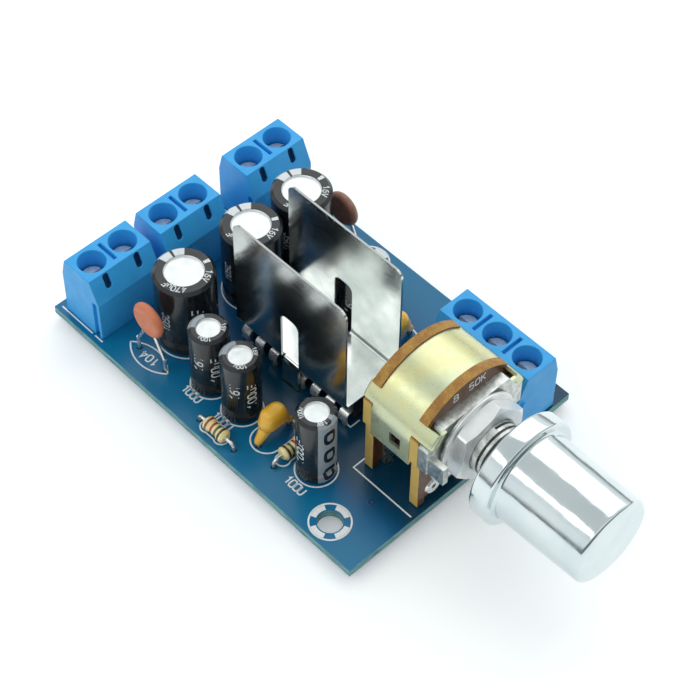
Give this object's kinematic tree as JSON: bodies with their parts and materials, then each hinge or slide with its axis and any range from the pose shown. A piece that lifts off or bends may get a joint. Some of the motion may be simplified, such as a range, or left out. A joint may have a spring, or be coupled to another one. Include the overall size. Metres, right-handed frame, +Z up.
{
  "type": "audio amplifier board",
  "caption": "Small stereo amplifier board with screw terminals for wires, a power chip under a folded heat sink, capacitors and a volume control with a chromed knob",
  "frame": {"origin": "middle of the footprint, on the plane the solder joints stand on", "axes": "+Z up from the board's component side, +Y from the knob to the rear row of terminals, +X to the right seen from the knob"},
  "size_m": [0.038, 0.0772, 0.0251],
  "materials": {
    "board_mask": "satin",
    "solder": "polished",
    "housing_blue": "satin",
    "clamp_brass": "satin",
    "plated_steel": "satin",
    "chip_black": "matte",
    "tinned_lead": "polished",
    "sink_metal": "polished",
    "sleeve_black": "gloss",
    "can_metal": "satin",
    "bung_rubber": "matte",
    "disc_orange": "matte",
    "disc_brown": "matte",
    "dipped_yellow": "gloss",
    "resistor_tan": "satin",
    "cover_zinc": "satin",
    "wafer_phenolic": "satin",
    "cast_plate": "satin",
    "shaft_metal": "satin",
    "rotor_plastic": "matte",
    "knob_chrome": "polished"
  },
  "bodies": {
    "board": {"circuit_board": "board_mask", "terminal_solder": "solder", "component_solder": "solder", "terminal_housing_1": "housing_blue", "terminal_housing_2": "housing_blue", "terminal_housing_3": "housing_blue", "terminal_housing_4": "housing_blue", "clamp_frames_1": "clamp_brass", "clamp_frames_2": "clamp_brass", "clamp_frames_3": "clamp_brass", "clamp_frames_4": "clamp_brass", "chip_body": "chip_black", "chip_pins": "tinned_lead", "heat_sink": "sink_metal", "large_sleeve_1": "sleeve_black", "large_sleeve_2": "sleeve_black", "large_sleeve_3": "sleeve_black", "small_sleeve_1": "sleeve_black", "small_sleeve_2": "sleeve_black", "small_sleeve_3": "sleeve_black", "small_sleeve_4": "sleeve_black", "small_sleeve_5": "sleeve_black", "large_cans": "can_metal", "small_cans": "can_metal", "can_bungs": "bung_rubber", "component_leads": "tinned_lead", "disc_capacitor_1": "disc_orange", "disc_capacitor_2": "disc_brown", "dipped_capacitor_1": "dipped_yellow", "dipped_capacitor_2": "dipped_yellow", "resistor_1": "resistor_tan", "resistor_2": "resistor_tan", "pot_cover": "cover_zinc", "pot_front_plate": "cast_plate", "pot_front_wafer": "wafer_phenolic", "pot_rear_wafer": "wafer_phenolic", "pot_terminals": "tinned_lead", "pot_washer": "plated_steel", "pot_nut": "plated_steel"},
    "volume_knob": {"knob": "knob_chrome", "pot_shaft": "shaft_metal", "pot_rotors": "rotor_plastic"},
    "guard_1": {"wire_guard_1": "plated_steel"},
    "screw_1": {"terminal_screw_1": "plated_steel"},
    "guard_2": {"wire_guard_2": "plated_steel"},
    "screw_2": {"terminal_screw_2": "plated_steel"},
    "guard_3": {"wire_guard_3": "plated_steel"},
    "screw_3": {"terminal_screw_3": "plated_steel"},
    "guard_4": {"wire_guard_4": "plated_steel"},
    "screw_4": {"terminal_screw_4": "plated_steel"},
    "guard_5": {"wire_guard_5": "plated_steel"},
    "screw_5": {"terminal_screw_5": "plated_steel"},
    "guard_6": {"wire_guard_6": "plated_steel"},
    "screw_6": {"terminal_screw_6": "plated_steel"},
    "guard_7": {"wire_guard_7": "plated_steel"},
    "screw_7": {"terminal_screw_7": "plated_steel"},
    "guard_8": {"wire_guard_8": "plated_steel"},
    "screw_8": {"terminal_screw_8": "plated_steel"},
    "guard_9": {"wire_guard_9": "plated_steel"},
    "screw_9": {"terminal_screw_9": "plated_steel"}
  },
  "joints": [
    {"name": "volume_turn", "type": "hinge", "parent": "board", "child": "volume_knob", "pos_m": [0.0004, -0.03085, 0.0129], "axis": [0, 1, 0], "range_deg": [0, 300]},
    {"name": "guard_slide_1", "type": "slide", "parent": "board", "child": "guard_1", "axis": [0, 0, 1], "range_m": [0, 0.0024]},
    {"name": "screw_turn_1", "type": "hinge", "parent": "guard_1", "child": "screw_1", "pos_m": [-0.0155, 0.0341, 0.0094], "axis": [0, 0, 1], "range_deg": [0, 1920.5]},
    {"name": "guard_slide_2", "type": "slide", "parent": "board", "child": "guard_2", "axis": [0, 0, 1], "range_m": [0, 0.0024]},
    {"name": "screw_turn_2", "type": "hinge", "parent": "guard_2", "child": "screw_2", "pos_m": [-0.0105, 0.0341, 0.0094], "axis": [0, 0, 1], "range_deg": [0, 1920.5]},
    {"name": "guard_slide_3", "type": "slide", "parent": "board", "child": "guard_3", "axis": [0, 0, 1], "range_m": [0, 0.0024]},
    {"name": "screw_turn_3", "type": "hinge", "parent": "guard_3", "child": "screw_3", "pos_m": [-0.0038, 0.0341, 0.0094], "axis": [0, 0, 1], "range_deg": [0, 1920.5]},
    {"name": "guard_slide_4", "type": "slide", "parent": "board", "child": "guard_4", "axis": [0, 0, 1], "range_m": [0, 0.0024]},
    {"name": "screw_turn_4", "type": "hinge", "parent": "guard_4", "child": "screw_4", "pos_m": [0.0012, 0.0341, 0.0094], "axis": [0, 0, 1], "range_deg": [0, 1920.5]},
    {"name": "guard_slide_5", "type": "slide", "parent": "board", "child": "guard_5", "axis": [0, 0, 1], "range_m": [0, 0.0024]},
    {"name": "screw_turn_5", "type": "hinge", "parent": "guard_5", "child": "screw_5", "pos_m": [0.0108, 0.0341, 0.0094], "axis": [0, 0, 1], "range_deg": [0, 1920.5]},
    {"name": "guard_slide_6", "type": "slide", "parent": "board", "child": "guard_6", "axis": [0, 0, 1], "range_m": [0, 0.0024]},
    {"name": "screw_turn_6", "type": "hinge", "parent": "guard_6", "child": "screw_6", "pos_m": [0.0158, 0.0341, 0.0094], "axis": [0, 0, 1], "range_deg": [0, 1920.5]},
    {"name": "guard_slide_7", "type": "slide", "parent": "board", "child": "guard_7", "axis": [0, 0, 1], "range_m": [0, 0.0024]},
    {"name": "screw_turn_7", "type": "hinge", "parent": "guard_7", "child": "screw_7", "pos_m": [0.01315, -0.0036, 0.0094], "axis": [0, 0, 1], "range_deg": [0, 1920.5]},
    {"name": "guard_slide_8", "type": "slide", "parent": "board", "child": "guard_8", "axis": [0, 0, 1], "range_m": [0, 0.0024]},
    {"name": "screw_turn_8", "type": "hinge", "parent": "guard_8", "child": "screw_8", "pos_m": [0.01315, -0.0086, 0.0094], "axis": [0, 0, 1], "range_deg": [0, 1920.5]},
    {"name": "guard_slide_9", "type": "slide", "parent": "board", "child": "guard_9", "axis": [0, 0, 1], "range_m": [0, 0.0024]},
    {"name": "screw_turn_9", "type": "hinge", "parent": "guard_9", "child": "screw_9", "pos_m": [0.01315, -0.0136, 0.0094], "axis": [0, 0, 1], "range_deg": [0, 1920.5]}
  ],
  "couplings": [
    {"joint": "screw_turn_1", "follows": "guard_slide_1", "rad_per_m": 13963},
    {"joint": "screw_turn_2", "follows": "guard_slide_2", "rad_per_m": 13963},
    {"joint": "screw_turn_3", "follows": "guard_slide_3", "rad_per_m": 13963},
    {"joint": "screw_turn_4", "follows": "guard_slide_4", "rad_per_m": 13963},
    {"joint": "screw_turn_5", "follows": "guard_slide_5", "rad_per_m": 13963},
    {"joint": "screw_turn_6", "follows": "guard_slide_6", "rad_per_m": 13963},
    {"joint": "screw_turn_7", "follows": "guard_slide_7", "rad_per_m": 13963},
    {"joint": "screw_turn_8", "follows": "guard_slide_8", "rad_per_m": 13963},
    {"joint": "screw_turn_9", "follows": "guard_slide_9", "rad_per_m": 13963}
  ]
}
